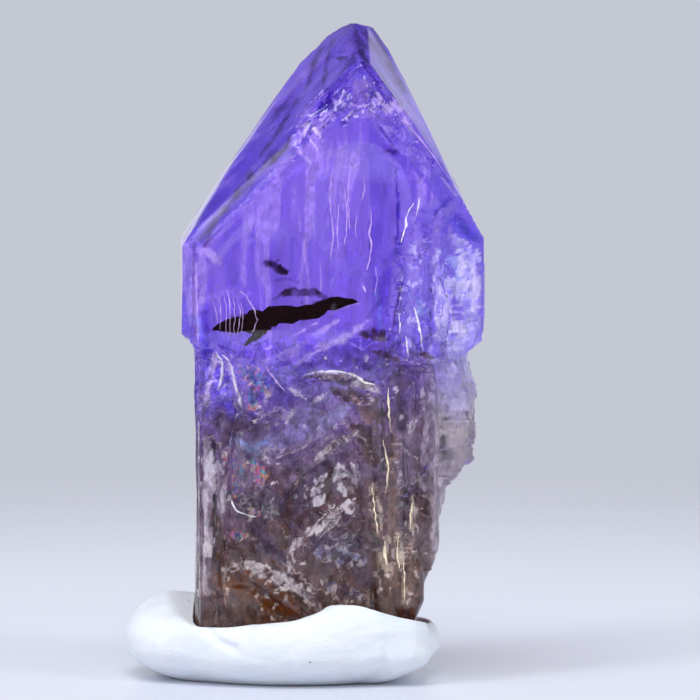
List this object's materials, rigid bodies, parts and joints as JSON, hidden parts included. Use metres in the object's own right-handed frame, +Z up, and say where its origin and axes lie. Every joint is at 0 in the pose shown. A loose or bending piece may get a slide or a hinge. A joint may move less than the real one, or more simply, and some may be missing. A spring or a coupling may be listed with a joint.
{
  "type": "rough tanzanite crystal",
  "caption": "Rough tanzanite: a violet pointed prism over a smoky, fractured shaft with a pale side crystal, standing upright in a pad of white mounting putty.",
  "frame": {"origin": "on the surface the putty rests on, under the middle of the object's box", "axes": "+Z up along the crystal, -Y towards the broad broken face, +X towards the side crystal"},
  "size_m": [0.0152, 0.0098, 0.0272],
  "materials": {
    "tanzanite": "clear natural crystal, violet-blue at the top and smoky brown below, with vitreous faces and fresh fractures",
    "putty": "matte white mounting putty with a faint blue cast, pressed by hand"
  },
  "bodies": {
    "root": {"tanzanite_crystal": "tanzanite", "putty_base": "putty"}
  },
  "joints": []
}
